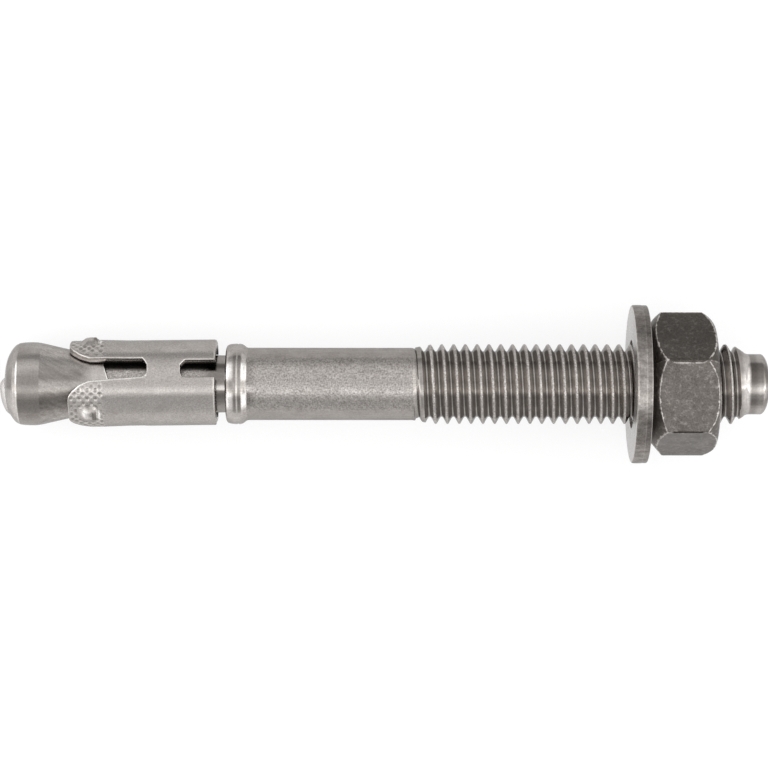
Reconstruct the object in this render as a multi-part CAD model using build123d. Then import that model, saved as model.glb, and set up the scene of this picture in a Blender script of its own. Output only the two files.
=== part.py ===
from build123d import *
from math import ceil, cos, radians, sin, tan
import os

os.makedirs("parts", exist_ok=True)

# A wedge anchor for concrete: a cold-formed stud with a cone at its tip, a rolled sheet sleeve
# that the cone spreads in the drilled hole, and a washer and hex nut on the thread.
# The axis is +X, from the tip to the nut's end. The origin is on the axis, in the plane where
# the washer bears on the fixture. +Y and +Z are square to it. All sizes are millimetres.
# Pieces are drawn about +Z, with heights counted from the tip, and then laid along +X.
# Angles go round the axis from +Y towards +Z.

# Stud, from the tip
BOLT_LENGTH = 114.0
NUB_HEIGHT = 0.95
NUB_RADIUS = 2.3
NUB_OFFSET = 1.35
NUB_ANGLE = 180.0
TIP_FACE_RADIUS = 3.45
TIP_BEVEL_LENGTH = 1.7
TIP_EDGE_RADIUS = 0.5
CONE_RADIUS = 6.17
LAND_LENGTH = 3.15
CONE_ANGLE = 13.0
LAND_BLEND_RADIUS = 2.0
CONE_FOOT_RADIUS = 5.0
CONE_FOOT_BLEND_RADIUS = 8.0
SEAT_END_RADIUS = 4.92
SEAT_LENGTH = 5.21
SEAT_END_EDGE_RADIUS = 0.1
NECK_RADIUS = 4.25
NECK_STEP_LENGTH = 0.25
NECK_LENGTH = 17.43
COLLAR_RADIUS = 5.97
COLLAR_LENGTH = 3.3
COLLAR_SHOULDER_DROP = 0.18
COLLAR_FLANK_LENGTH = 0.24
COLLAR_SLOPE_LENGTH = 0.7
COLLAR_EDGE_RADIUS = 0.35
COLLAR_FOOT_RADIUS = 0.24
CREASE_FROM_START = 1.9
CREASE_DEPTH = 0.1
CREASE_WIDTH = 0.24
SHANK_RADIUS = 5.365
SHANK_LENGTH = 24.4
DOG_RADIUS = 4.475
DOG_LENGTH = 3.3
DOG_EDGE_RADIUS = 1.0
DOG_CONE_LENGTH = 0.5

# Rolled M12 thread, right-handed
PITCH = 1.75
THREAD_CREST_RADIUS = 5.915
THREAD_ROOT_RADIUS = 4.86
THREAD_FLANK_ANGLE = 30.0
THREAD_CREST_WIDTH = 0.24
THREAD_START_ANGLE = 183.3
THREAD_RUN_IN = 1.2
CREST_RUN_IN = 2.3
THREAD_CHAMFER_LENGTH = 1.6
THREAD_CLEARANCE = 0.2
THREAD_BURY = 0.1

# Expansion sleeve
SLEEVE_RADIUS = 6.33
SLEEVE_WALL = 1.2
SLEEVE_CONE_CLEARANCE = 0.08
SLEEVE_BEVEL_LENGTH = 0.3
SLEEVE_TRAVEL = 1.25
SLEEVE_REAR_EDGE_RADIUS = 0.45
SLEEVE_FRONT_EDGE_RADIUS = 0.25
FINGERS = 3
SLOT_ANGLE = 68.0
FRONT_SLOT_LENGTH = 11.5
SLOT_HIGH_SIDE = 14.0
SLOT_LOW_SIDE = 18.0
SLOT_LOW_SIDE_END = 13.0
SLOT_END_DEPTH = 0.8
FINGER_TIP_LENGTH = 3.4
REAR_SLOT_LENGTH = 5.1
REAR_SLOT_SIDE = 14.0
SEAM_GAP = 0.4
BUMP_HEIGHT = 0.75
BUMP_RADIUS = 1.6
BUMP_FROM_FRONT = 3.45
BUMP_STEP_FROM_CENTRE = 1.1
BUMP_FROM_SLOT_ANGLE = 63.7

# Washer and nut
WASHER_RADIUS = 11.75
WASHER_THICKNESS = 2.3
WASHER_HOLE_CLEARANCE = 0.685
WASHER_EDGE_RADIUS = 0.3
SEAT_GAP = 0.05
NUT_ACROSS_FLATS = 18.8
NUT_HEIGHT = 10.0
NUT_ANGLE = 10.7
NUT_MINOR_RADIUS = 5.15
NUT_FACE_RADIUS = 9.0
NUT_ROUND_MID_RADIUS = 10.1
NUT_ROUND_MID_LENGTH = 0.85
NUT_ROUND_LENGTH = 2.0
NUT_COUNTERSINK_RADIUS = 6.25
BOLT_PAST_NUT = 8.0

# Heights along the stud, from the tip
TIP_FACE = NUB_HEIGHT
LAND_START = TIP_FACE + TIP_BEVEL_LENGTH
LAND_END = LAND_START + LAND_LENGTH
CONE_TAN = tan(radians(CONE_ANGLE))
CONE_END = LAND_END + (CONE_RADIUS - CONE_FOOT_RADIUS) / CONE_TAN
SEAT_END = CONE_END + SEAT_LENGTH
COLLAR_START = SEAT_END + NECK_LENGTH
COLLAR_END = COLLAR_START + COLLAR_LENGTH
THREAD_START = COLLAR_END + SHANK_LENGTH
DOG_START = BOLT_LENGTH - DOG_LENGTH
ROOT_END = DOG_START - DOG_CONE_LENGTH
NUT_OUTER = BOLT_LENGTH - BOLT_PAST_NUT
NUT_SEAT = NUT_OUTER - NUT_HEIGHT
WASHER_OUTER = NUT_SEAT - SEAT_GAP
WASHER_SEAT = WASHER_OUTER - WASHER_THICKNESS

# Heights along the sleeve: its front rides on the cone, its rear stops short of the collar
SLEEVE_BORE = SLEEVE_RADIUS - SLEEVE_WALL
SLEEVE_ON_CONE = LAND_END + (CONE_RADIUS + SLEEVE_CONE_CLEARANCE - SLEEVE_BORE) / CONE_TAN
SLEEVE_FRONT = SLEEVE_ON_CONE - SLEEVE_BEVEL_LENGTH
SLEEVE_REAR = COLLAR_START - SLEEVE_TRAVEL
FINGER_SPACING = 360 / FINGERS
HALF_SPACING = FINGER_SPACING / 2


def turned(outline):
    """A solid of revolution about +Z, from an outline of (radius, height) edges."""
    return revolve(make_face(Plane.XZ * outline), Axis.Z)


def closed(points, radii):
    """An outline closed along the axis, each corner between its ends with its own radius."""
    first, last = points[0], points[-1]
    return FilletPolyline(*points, radius=radii) + Line(last, first)


def helical_ridge(start, length, base_radius, crest_radius, crest_width):
    """A thread's ridge of 60 degrees included angle, in whole turns, in step with the stud's."""
    turns = ceil(length / PITCH)
    flank_tan = tan(radians(THREAD_FLANK_ANGLE))
    half_crest = crest_width / 2
    half_base = half_crest + (crest_radius - base_radius) * flank_tan
    corners = [
        (base_radius, -half_base),
        (crest_radius, -half_crest),
        (crest_radius, half_crest),
        (base_radius, half_base),
    ]
    faces = []
    for turn in range(turns):
        height = start + turn * PITCH
        runs = [
            Edge.make_helix(PITCH, PITCH, radius, center=(0, 0, height + offset)).edges()[0]
            for radius, offset in corners
        ]
        for here, after in zip(runs, runs[1:] + runs[:1]):
            faces.append(Face.make_surface_from_curves(here, after))
        if turn == 0:
            faces.append(Face(Wire.make_polygon([run @ 0 for run in runs])))
        if turn == turns - 1:
            faces.append(Face(Wire.make_polygon([run @ 1 for run in runs])))
    angle = THREAD_START_ANGLE + 360 * (start - THREAD_START) / PITCH
    return Rot(0, 0, angle) * Solid(Shell(faces))


def radial_cutter(corners, curves):
    """A cutter whose sides all point at the axis, for an outline of (height, angle) corners.

    curves maps a corner's place in the list to the points between it and the next corner.
    """
    wires = []
    for distance in (SLEEVE_BORE / 3, SLEEVE_RADIUS + 2 * BUMP_HEIGHT):
        spots = [
            [Vector(distance, distance * tan(radians(a)), z) for z, a in [corner] + curves.get(i, [])]
            for i, corner in enumerate(corners)
        ]
        edges = []
        for here, after in zip(spots, spots[1:] + spots[:1]):
            run = here + after[:1]
            edges.append(Edge.make_line(*run) if len(run) == 2 else Edge.make_spline(run))
        wires.append(Wire(edges))
    return Solid.make_loft(wires, ruled=True)


def oval_run(top, depth, middle, half_width, turns):
    """(height, angle) points on an oval's edge, at the given turns from its top."""
    return [
        (top + depth * (1 - cos(radians(turn))), middle + half_width * sin(radians(turn)))
        for turn in turns
    ]


def stud():
    crease = COLLAR_START + CREASE_FROM_START
    shoulder = COLLAR_RADIUS - COLLAR_SHOULDER_DROP
    corners = [
        ((TIP_FACE_RADIUS, TIP_FACE), TIP_EDGE_RADIUS),
        ((CONE_RADIUS, LAND_START), TIP_EDGE_RADIUS),
        ((CONE_RADIUS, LAND_END), LAND_BLEND_RADIUS),
        ((CONE_FOOT_RADIUS, CONE_END), CONE_FOOT_BLEND_RADIUS),
        ((SEAT_END_RADIUS, SEAT_END), SEAT_END_EDGE_RADIUS),
        ((NECK_RADIUS, SEAT_END + NECK_STEP_LENGTH), SEAT_END_EDGE_RADIUS),
        ((NECK_RADIUS, COLLAR_START), COLLAR_FOOT_RADIUS),
        ((shoulder, COLLAR_START + COLLAR_FLANK_LENGTH), COLLAR_EDGE_RADIUS),
        ((COLLAR_RADIUS, crease - CREASE_WIDTH), 0),
        ((COLLAR_RADIUS, crease - CREASE_WIDTH / 2), 0),
        ((COLLAR_RADIUS - CREASE_DEPTH, crease), 0),
        ((COLLAR_RADIUS, crease + CREASE_WIDTH / 2), 0),
        ((shoulder, COLLAR_END - COLLAR_SLOPE_LENGTH), COLLAR_EDGE_RADIUS),
        ((SHANK_RADIUS, COLLAR_END), COLLAR_EDGE_RADIUS),
        ((SHANK_RADIUS, THREAD_START), 0),
        ((THREAD_ROOT_RADIUS, THREAD_START + THREAD_RUN_IN), 0),
        ((THREAD_ROOT_RADIUS, ROOT_END), 0),
        ((DOG_RADIUS, DOG_START), 0),
        ((DOG_RADIUS, BOLT_LENGTH), DOG_EDGE_RADIUS),
    ]
    points = [(0, TIP_FACE)] + [point for point, _ in corners] + [(0, BOLT_LENGTH)]
    blank = turned(closed(points, [radius for _, radius in corners]))

    # The nub left by the cropping tool is a shallow dome beside the axis
    dome_radius = (NUB_RADIUS**2 + NUB_HEIGHT**2) / (2 * NUB_HEIGHT)
    ball = Pos(NUB_OFFSET, 0, dome_radius) * Sphere(dome_radius)
    slab = Cylinder(CONE_RADIUS, TIP_FACE + TIP_EDGE_RADIUS, align=(Align.CENTER, Align.CENTER, Align.MIN))
    nub = Rot(0, 0, NUB_ANGLE) * (ball & slab)

    # The ridge starts inside the shank, rises to its full height and is chamfered at the end
    start = THREAD_START - PITCH / 2
    base = THREAD_ROOT_RADIUS - THREAD_BURY
    ridge = helical_ridge(
        start, ROOT_END + PITCH - start, base, THREAD_CREST_RADIUS, THREAD_CREST_WIDTH
    )
    limit = Polyline(
        (0, start - PITCH),
        (SHANK_RADIUS - THREAD_BURY / 2, start - PITCH),
        (SHANK_RADIUS - THREAD_BURY / 2, THREAD_START + THREAD_RUN_IN / 2),
        (THREAD_CREST_RADIUS, THREAD_START + CREST_RUN_IN),
        (THREAD_CREST_RADIUS, ROOT_END - THREAD_CHAMFER_LENGTH),
        (THREAD_ROOT_RADIUS - THREAD_BURY / 2, ROOT_END),
        (0, ROOT_END),
        (0, start - PITCH),
    )
    return blank + nub + (ridge & turned(limit))


def sleeve():
    bevel = SLEEVE_BEVEL_LENGTH * CONE_TAN
    ring = FilletPolyline(
        (SLEEVE_BORE, SLEEVE_ON_CONE),
        (SLEEVE_BORE + bevel, SLEEVE_FRONT),
        (SLEEVE_RADIUS, SLEEVE_FRONT),
        (SLEEVE_RADIUS, SLEEVE_REAR),
        (SLEEVE_BORE, SLEEVE_REAR),
        radius=[0, SLEEVE_FRONT_EDGE_RADIUS, SLEEVE_REAR_EDGE_RADIUS],
    ) + Line((SLEEVE_BORE, SLEEVE_REAR), (SLEEVE_BORE, SLEEVE_ON_CONE))
    body = turned(ring)

    # Each finger has a raised bump with a sheared step on its rear side
    mid_wall = SLEEVE_RADIUS - SLEEVE_WALL / 2
    top = SLEEVE_RADIUS + BUMP_HEIGHT
    ball_centre = (top + SLEEVE_RADIUS - BUMP_RADIUS**2 / BUMP_HEIGHT) / 2
    bump_centre = SLEEVE_FRONT + BUMP_FROM_FRONT
    ball = Pos(ball_centre, 0, bump_centre) * Sphere(top - ball_centre)
    keep = Pos(0, 0, bump_centre + BUMP_STEP_FROM_CENTRE) * (
        Cylinder(top * 2, top * 2, align=(Align.CENTER, Align.CENTER, Align.MAX))
        - Cylinder(mid_wall, top * 2, align=(Align.CENTER, Align.CENTER, Align.MAX))
    )
    bump = ball & keep

    # The blank's slots: one between each pair of fingers, and one from the rear in line with it
    tip_end = SLEEVE_FRONT + FINGER_TIP_LENGTH
    slot_end = SLEEVE_FRONT + FRONT_SLOT_LENGTH
    ahead = SLEEVE_FRONT - SLEEVE_WALL
    low_half = HALF_SPACING - SLOT_LOW_SIDE
    high_half = HALF_SPACING - SLOT_HIGH_SIDE
    end_half = (SLOT_HIGH_SIDE + SLOT_LOW_SIDE_END) / 2
    end_middle = end_half - SLOT_HIGH_SIDE
    front_slot = radial_cutter(
        [
            (ahead, -HALF_SPACING),
            (SLEEVE_FRONT, -HALF_SPACING),
            (tip_end, -SLOT_HIGH_SIDE),
            (slot_end - SLOT_END_DEPTH, -SLOT_HIGH_SIDE),
            (slot_end - SLOT_END_DEPTH, SLOT_LOW_SIDE_END),
            (tip_end, SLOT_LOW_SIDE),
            (SLEEVE_FRONT, HALF_SPACING),
            (ahead, HALF_SPACING),
        ],
        {
            1: oval_run(SLEEVE_FRONT, FINGER_TIP_LENGTH, -HALF_SPACING, high_half, range(15, 90, 15)),
            3: oval_run(slot_end, -SLOT_END_DEPTH, end_middle, end_half, range(-75, 90, 15)),
            5: oval_run(SLEEVE_FRONT, FINGER_TIP_LENGTH, HALF_SPACING, low_half, range(-75, 0, 15)),
        },
    )
    rear_end = SLEEVE_REAR - REAR_SLOT_LENGTH
    behind = SLEEVE_REAR + SLEEVE_WALL
    rear_slot = radial_cutter(
        [
            (behind, -REAR_SLOT_SIDE),
            (rear_end + SLOT_END_DEPTH, -REAR_SLOT_SIDE),
            (rear_end + SLOT_END_DEPTH, REAR_SLOT_SIDE),
            (behind, REAR_SLOT_SIDE),
        ],
        {1: oval_run(rear_end, SLOT_END_DEPTH, 0, REAR_SLOT_SIDE, range(-75, 90, 15))},
    )
    for finger in range(FINGERS):
        angle = SLOT_ANGLE + finger * FINGER_SPACING
        body += Rot(0, 0, angle + BUMP_FROM_SLOT_ANGLE) * bump
    for finger in range(FINGERS):
        angle = SLOT_ANGLE + finger * FINGER_SPACING
        body -= Rot(0, 0, angle) * front_slot
        body -= Rot(0, 0, angle) * rear_slot

    # The rolled strip's two ends meet at a seam between two of the slots
    seam = Pos(0, 0, SLEEVE_FRONT) * Box(
        2 * SLEEVE_RADIUS,
        SEAM_GAP,
        SLEEVE_REAR - SLEEVE_FRONT,
        align=(Align.MIN, Align.CENTER, Align.MIN),
    )
    return body - Rot(0, 0, SLOT_ANGLE - FINGER_SPACING) * seam


def washer():
    hole = THREAD_CREST_RADIUS + WASHER_HOLE_CLEARANCE
    outline = FilletPolyline(
        (hole, WASHER_SEAT),
        (WASHER_RADIUS, WASHER_SEAT),
        (WASHER_RADIUS, WASHER_OUTER),
        (hole, WASHER_OUTER),
        radius=[WASHER_EDGE_RADIUS, WASHER_EDGE_RADIUS],
    ) + Line((hole, WASHER_OUTER), (hole, WASHER_SEAT))
    return turned(outline)


def nut():
    apothem = NUT_ACROSS_FLATS / 2
    corner = apothem / cos(radians(30))
    middle = (NUT_SEAT + NUT_OUTER) / 2
    prism = Pos(0, 0, NUT_SEAT) * extrude(
        RegularPolygon(apothem, 6, major_radius=False, rotation=NUT_ANGLE), NUT_HEIGHT
    )

    # Both ends are rounded off by a chamfer that curves into the corners
    half = NUT_HEIGHT / 2
    mid_height = half - NUT_ROUND_MID_LENGTH
    edge_height = half - NUT_ROUND_LENGTH
    lower = ThreePointArc(
        (NUT_FACE_RADIUS, -half), (NUT_ROUND_MID_RADIUS, -mid_height), (corner, -edge_height)
    )
    upper = ThreePointArc(
        (corner, edge_height), (NUT_ROUND_MID_RADIUS, mid_height), (NUT_FACE_RADIUS, half)
    )
    outline = (
        Line((0, -half), (NUT_FACE_RADIUS, -half))
        + lower
        + Line(lower @ 1, upper @ 0)
        + upper
        + Line((NUT_FACE_RADIUS, half), (0, half))
        + Line((0, half), (0, -half))
    )
    body = prism & (Pos(0, 0, middle) * turned(outline))

    # Tapped hole: minor bore, a countersink at each end and the thread's groove
    sink = NUT_COUNTERSINK_RADIUS - NUT_MINOR_RADIUS
    wide = NUT_COUNTERSINK_RADIUS + PITCH
    hole = turned(
        Polyline(
            (0, NUT_SEAT - PITCH),
            (wide, NUT_SEAT - PITCH),
            (NUT_MINOR_RADIUS, NUT_SEAT + sink),
            (NUT_MINOR_RADIUS, NUT_OUTER - sink),
            (wide, NUT_OUTER + PITCH),
            (0, NUT_OUTER + PITCH),
            (0, NUT_SEAT - PITCH),
        )
    )
    groove = helical_ridge(
        NUT_SEAT - PITCH,
        NUT_HEIGHT + 2 * PITCH,
        NUT_MINOR_RADIUS - THREAD_BURY,
        THREAD_CREST_RADIUS + THREAD_CLEARANCE,
        THREAD_CREST_WIDTH,
    )
    return body - hole - groove


TO_AXIS = Plane.YZ.location * Pos(0, 0, -WASHER_SEAT)

pieces = {
    "anchor_bolt": stud,
    "expansion_sleeve": sleeve,
    "washer": washer,
    "hex_nut": nut,
}
for name, make in pieces.items():
    export_step(TO_AXIS * make(), f"parts/{name}.step")
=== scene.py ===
import math

import bmesh
import bpy
import numpy as np
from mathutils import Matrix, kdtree


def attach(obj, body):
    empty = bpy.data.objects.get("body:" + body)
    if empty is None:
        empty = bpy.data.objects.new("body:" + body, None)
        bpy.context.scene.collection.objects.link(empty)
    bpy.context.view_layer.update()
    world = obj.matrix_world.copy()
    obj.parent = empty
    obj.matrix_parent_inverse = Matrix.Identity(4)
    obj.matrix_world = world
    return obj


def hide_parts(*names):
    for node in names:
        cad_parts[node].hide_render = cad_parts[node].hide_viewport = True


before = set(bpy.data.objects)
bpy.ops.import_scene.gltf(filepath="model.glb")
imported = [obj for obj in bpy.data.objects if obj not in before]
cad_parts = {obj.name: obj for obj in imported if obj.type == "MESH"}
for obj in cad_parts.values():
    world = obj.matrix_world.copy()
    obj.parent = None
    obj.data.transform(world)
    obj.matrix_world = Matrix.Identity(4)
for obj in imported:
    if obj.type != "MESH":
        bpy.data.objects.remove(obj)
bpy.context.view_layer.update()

# The stud is one bar of stainless steel. Its cone, neck and collar are cold-formed between dies
# and its thread is rolled, which leaves smooth roots, painted darker as painted shade in the grooves,
# and paler, grainy crests.
# An outline lists heights from the bolt's tip and radii, both in millimetres.
MM = 0.001
SEAT_FROM_TIP = 93.65
SEGMENTS = 132
SHANK_RADIUS = 5.365
ROOT_RADIUS = 4.86
THREAD_START = 61.2
THREAD_END = 110.2
STEP_AT = 16.2
STEP_SHIFT = 0.47
STEP_LEAN = 0.325
TIP_OUTLINE = [
    (0.95, 0), (0.95, 2.2), (1.1, 3.1), (1.36, 4.05), (1.72, 4.75), (2.12, 5.35), (2.42, 5.68),
    (2.72, 5.87), (2.98, 6.0), (3.06, 6.03), (3.14, 6.05), (3.5, 6.1), (3.95, 6.14),
]
CONE_OUTLINE = [
    (4.6, 6.165), (5.2, 6.165), (5.75, 6.13), (6.3, 6.04), (7.0, 5.885), (10.0, 5.19), (10.8, 5.04),
    (11.9, 4.985), (15.6, 4.935), (16.05, 4.93), (16.16, 4.92), (16.2, 4.88), (16.22, 4.8),
    (16.24, 4.35), (16.27, 4.27), (16.4, 4.25),
]
NECK_OUTLINE = [(33.3, 4.25), (33.56, 4.25), (33.6, 4.3)]
COLLAR_OUTLINE = [
    (33.62, 4.4), (33.63, 5.1), (33.66, 5.4), (33.76, 5.63), (33.95, 5.79), (34.2, 5.88), (34.5, 5.93),
    (35.1, 5.975), (35.28, 5.975), (35.36, 5.925), (35.4, 5.915), (35.44, 5.925), (35.52, 5.975),
    (35.75, 5.965), (36.02, 5.9), (36.3, 5.74), (36.55, 5.52), (36.72, 5.42), (36.9, 5.38),
    (37.15, SHANK_RADIUS), (THREAD_START, SHANK_RADIUS),
]
DOG_OUTLINE = [
    (THREAD_END, ROOT_RADIUS), (110.34, 4.71), (110.52, 4.6), (110.76, 4.51), (111.1, 4.475),
    (112.85, 4.475), (113.08, 4.36), (113.28, 4.15), (113.45, 3.9), (113.62, 3.55), (113.75, 3.15),
    (113.83, 2.7), (113.9, 1.9), (113.93, 0),
]
# The low stub on the tip's face: its height above the face, at distances from the axis towards -Y
NUB_OUTLINE = [
    (-1.25, 0), (-1.04, 0.08), (-0.6, 0.52), (-0.07, 0.9), (0.5, 0.95), (1.76, 0.78), (2.86, 0.64),
    (4.07, 0.42), (4.5, 0.1), (4.7, 0),
]
NUB_MIDDLE = 1.72
NUB_HALF_LENGTH = 3.05
NUB_HALF_WIDTH = 2.9


def along(from_tip):
    """A height from the bolt's tip in millimetres as an x in the frame, in metres."""
    return (np.asarray(from_tip, float) - SEAT_FROM_TIP) * MM


def dense(outline, step):
    """The outline's points with more between them, so that no two are further apart than step."""
    outline = np.array(outline, float)
    out = [outline[:1]]
    for here, after in zip(outline, outline[1:]):
        count = max(1, math.ceil(np.linalg.norm(after - here) / step))
        out.append(here + (after - here) * (np.arange(1, count + 1) / count)[:, None])
    return np.concatenate(out)


def smooth_outline(outline, rounds=2):
    """Corner cutting, which rounds an outline of points and keeps its two ends."""
    points = np.array(outline, float)
    for _ in range(rounds):
        near, far = points[:-1] * 0.75 + points[1:] * 0.25, points[:-1] * 0.25 + points[1:] * 0.75
        cut = np.stack([near, far], 1).reshape(-1, 2)
        points = np.concatenate([points[:1], cut[1:-1], points[-1:]])
    return points


def turned(heights, radii, turns):
    """Points from heights from the tip and radii, in millimetres, and turns about the axis."""
    spots = along(heights), radii * np.cos(turns) * MM, radii * np.sin(turns) * MM
    return np.stack(np.broadcast_arrays(*spots), -1)


def join_rings(rings, wide):
    """Quads between closed rings, each with this many points."""
    rows, cols = np.meshgrid(np.arange(rings - 1), np.arange(wide), indexing="ij")
    after = (cols + 1) % wide
    quads = [rows * wide + cols, (rows + 1) * wide + cols, (rows + 1) * wide + after, rows * wide + after]
    return np.stack(quads, -1).reshape(-1, 4)


def lathe(outline, segments=SEGMENTS):
    """Points and quads of a surface turned about the axis, from (height, radius) pairs."""
    heights, radii = np.array(outline, float).T[..., None]
    points = turned(heights, radii, np.arange(segments) * 2 * np.pi / segments)
    return points.reshape(-1, 3), join_rings(len(heights), segments)


def new_mesh(name, points, faces):
    """A mesh from points in metres and faces that give their points' numbers."""
    mesh = bpy.data.meshes.new(name)
    mesh.from_pydata([tuple(p) for p in points], [], [tuple(int(i) for i in f) for f in faces])
    return mesh


def new_piece(name, meshes, material, weld=1e-6, sharp=40):
    """One closed object from meshes that meet at equal points, with its faces outwards."""
    joined = bmesh.new()
    for mesh in meshes:
        joined.from_mesh(mesh)
    bmesh.ops.remove_doubles(joined, verts=joined.verts, dist=weld)
    bmesh.ops.dissolve_degenerate(joined, dist=weld, edges=joined.edges)
    bmesh.ops.recalc_face_normals(joined, faces=joined.faces)
    mesh = bpy.data.meshes.new(name)
    joined.to_mesh(mesh)
    joined.free()
    # Clearing also puts every face on the first slot
    mesh.materials.clear()
    mesh.materials.append(material)
    mesh.shade_smooth()
    mesh.set_sharp_from_angle(angle=math.radians(sharp))
    piece = bpy.data.objects.new(name, mesh)
    bpy.context.scene.collection.objects.link(piece)
    return piece


def add_node(tree, kind, inputs=None, stops=(), **settings):
    """A new node with its settings; inputs are numbers, or nodes or sockets to link from.

    stops are a colour ramp's (position, grey level or hex colour) pairs, in order.
    """
    node = tree.nodes.new(kind)
    for name, value in settings.items():
        setattr(node, name, value)
    for _ in range(len(stops) - 2):
        node.color_ramp.elements.new(1.0)
    for element, (position, level) in zip(node.color_ramp.elements if stops else (), stops):
        element.position = position
        element.color = linear(level) if isinstance(level, str) else [level] * 3 + [1]
    for name, value in (inputs or {}).items():
        if isinstance(value, bpy.types.Node):
            value = value.outputs[0]
        if isinstance(value, bpy.types.NodeSocket):
            tree.links.new(value, node.inputs[name])
        else:
            node.inputs[name].default_value = value
    return node


def linear(hex_colour):
    """An sRGB hex colour as the linear RGBA that a socket takes."""
    parts = [int(hex_colour[i : i + 2], 16) / 255 for i in (1, 3, 5)]
    return [p / 12.92 if p <= 0.04045 else ((p + 0.055) / 1.055) ** 2.4 for p in parts] + [1.0]


def plain_mesh(tree, values, name, start=None):
    """The mesh that a geometry tree makes from named values, and from a mesh to start with."""
    holder = bpy.data.objects.new(name, start or bpy.data.meshes.new(name))
    bpy.context.scene.collection.objects.link(holder)
    modifier = holder.modifiers.new(name, "NODES")
    modifier.node_group = tree
    for item in tree.interface.items_tree:
        if item.item_type == "SOCKET" and item.in_out == "INPUT" and item.name in values:
            modifier[item.identifier] = values[item.name]
    depsgraph = bpy.context.evaluated_depsgraph_get()
    made = bpy.data.meshes.new_from_object(holder.evaluated_get(depsgraph))
    holder.modifiers.clear()
    bpy.data.objects.remove(holder)
    return made


def new_group(name, kind, inputs, outputs):
    """A node group and its inputs' sockets, from lists of socket names by the kind of value."""
    group = bpy.data.node_groups.new(name, kind)
    for way, sockets in [("INPUT", inputs), ("OUTPUT", outputs)]:
        for value, labels in sockets.items():
            for label in labels:
                group.interface.new_socket(label, in_out=way, socket_type="NodeSocket" + value)
    return group, add_node(group, "NodeGroupInput").outputs


def new_material(name):
    """A material with this name and its empty node tree."""
    material = bpy.data.materials.new(name)
    material.use_nodes = True
    material.node_tree.nodes.clear()
    return material, material.node_tree


def find_place(tree):
    """Sockets that say where a shaded point is on the bolt.

    "height" is from the tip and "reach" from the axis, in millimetres. "turn" is about the axis
    as a part of one, with the top at a half.
    """
    here = add_node(tree, "ShaderNodeTexCoord").outputs["Object"]
    axes = add_node(tree, "ShaderNodeSeparateXYZ", {0: here}).outputs
    height = {0: axes["X"], 1: 1 / MM, 2: SEAT_FROM_TIP}
    height = add_node(tree, "ShaderNodeMath", height, operation="MULTIPLY_ADD")
    flat = add_node(tree, "ShaderNodeCombineXYZ", {"Y": axes["Y"], "Z": axes["Z"]})
    reach = add_node(tree, "ShaderNodeVectorMath", {0: flat}, operation="LENGTH").outputs["Value"]
    reach = add_node(tree, "ShaderNodeMath", {0: reach, 1: 1 / MM}, operation="MULTIPLY")
    turn = add_node(tree, "ShaderNodeMath", {0: axes["Y"], 1: axes["Z"]}, operation="ARCTAN2")
    turn = add_node(tree, "ShaderNodeMath", {0: turn, 1: 0.5 / math.pi, 2: 0.5}, operation="MULTIPLY_ADD")
    return {"here": here, "side": axes["Y"], "height": height, "reach": reach, "turn": turn}


def by_turn(levels):
    """Colour ramp stops from (degrees from the top, level) pairs."""
    return [(degrees / 360 + 0.5, level) for degrees, level in levels]


def near_line(tree, value, line, full, lost, level=1.0, elsewhere=0.0):
    """A mask that keeps its level up to full away from a line, and is elsewhere from lost on."""
    away = add_node(tree, "ShaderNodeMath", {0: value, 1: line}, operation="SUBTRACT")
    away = add_node(tree, "ShaderNodeMath", {0: away}, operation="ABSOLUTE")
    return add_node(tree, "ShaderNodeMapRange", {"Value": away, 1: full, 2: lost, 3: level, 4: elsewhere})


# A thread is a grid whose rows follow the helix. Each row keeps one place across the thread's
# form, so crest and root stay crisp, and what runs past either end is drawn back onto it.
lengths = ["Pitch", "Crest radius", "Root radius", "Crest flat", "Start", "End", "Crest at", "Start radius"]
lengths += ["End radius", "Root run-in", "Crest run-in", "Run-out", "Crest softness", "Root softness"]
values = {"Float": lengths, "Int": ["Turns", "Rows a turn", "Segments"], "Material": ["Finish"]}
thread, size = new_group("helical_thread", "GeometryNodeTree", values, {"Geometry": ["Mesh"]})
rows = add_node(thread, "ShaderNodeMath", {0: size["Turns"], 1: size["Rows a turn"]}, operation="MULTIPLY")
rows = add_node(thread, "ShaderNodeMath", {0: rows, 1: 1.0}, operation="ADD")
columns = add_node(thread, "ShaderNodeMath", {0: size["Segments"], 1: 1.0}, operation="ADD")
grid = {"Size X": 1.0, "Size Y": 1.0, "Vertices X": columns, "Vertices Y": rows}
grid = add_node(thread, "GeometryNodeMeshGrid", grid)
spot = add_node(thread, "ShaderNodeSeparateXYZ", {0: add_node(thread, "GeometryNodeInputPosition")}).outputs
turn = add_node(thread, "ShaderNodeMath", {0: spot["X"], 1: 0.5}, operation="ADD")
row = add_node(thread, "ShaderNodeMath", {0: spot["Y"], 1: 0.5}, operation="ADD")
row = add_node(thread, "ShaderNodeMath", {0: row, 1: size["Turns"]}, operation="MULTIPLY")
phase = add_node(thread, "ShaderNodeMath", {0: size["Start"], 1: size["Crest at"]}, operation="SUBTRACT")
phase = add_node(thread, "ShaderNodeMath", {0: phase, 1: size["Pitch"]}, operation="DIVIDE")
# Rows are drawn closer together at the crests and roots, where the form is rounded
drift = add_node(thread, "ShaderNodeMath", {0: phase, 1: row}, operation="ADD")
drift = add_node(thread, "ShaderNodeMath", {0: drift, 1: 4 * math.pi}, operation="MULTIPLY")
drift = add_node(thread, "ShaderNodeMath", {0: drift}, operation="SINE")
row = {0: drift, 1: -0.55 / (4 * math.pi), 2: row}
row = add_node(thread, "ShaderNodeMath", row, operation="MULTIPLY_ADD")
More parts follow.
